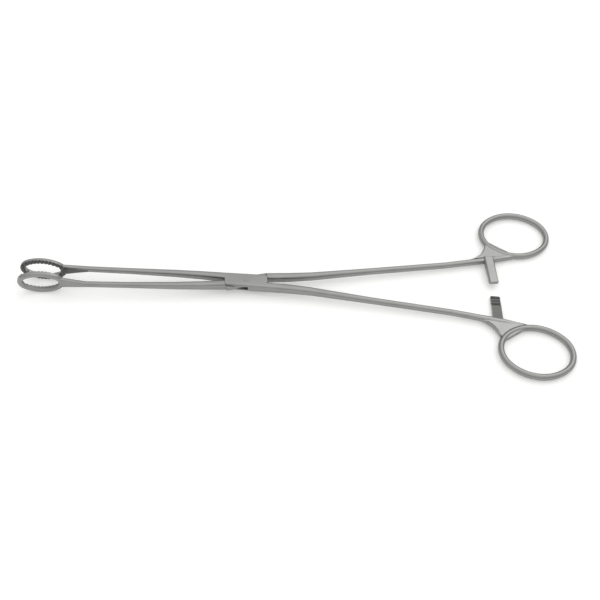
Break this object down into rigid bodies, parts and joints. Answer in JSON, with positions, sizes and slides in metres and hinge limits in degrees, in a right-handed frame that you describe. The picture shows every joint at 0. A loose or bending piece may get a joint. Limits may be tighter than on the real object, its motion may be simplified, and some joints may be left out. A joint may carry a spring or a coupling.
{
  "type": "sponge holding forceps",
  "caption": "Ring-handled forceps with oval open jaws, two forged halves crossing in a pinned box lock, and ratchet bars between the handles, for holding folded swabs.",
  "frame": {"origin": "middle of the joint pin, halfway between the two cheeks of the box lock", "axes": "+X along the instrument from the jaws to the finger rings, +Y across it towards the finger ring of the male half, +Z along the joint pin"},
  "size_m": [0.2488, 0.0982, 0.013],
  "materials": {
    "female_half_steel": "satin stainless steel",
    "male_half_steel": "satin stainless steel",
    "pin_steel": "satin stainless steel, ground flush"
  },
  "bodies": {
    "female_half": {"female_half": "female_half_steel", "joint_pin": "pin_steel"},
    "male_half": {"male_half": "male_half_steel"}
  },
  "joints": [
    {"name": "box_joint", "type": "hinge", "parent": "female_half", "child": "male_half", "pos_m": [0, 0, 0], "axis": [0, 0, 1], "range_deg": [-3.7, 49.3]}
  ]
}
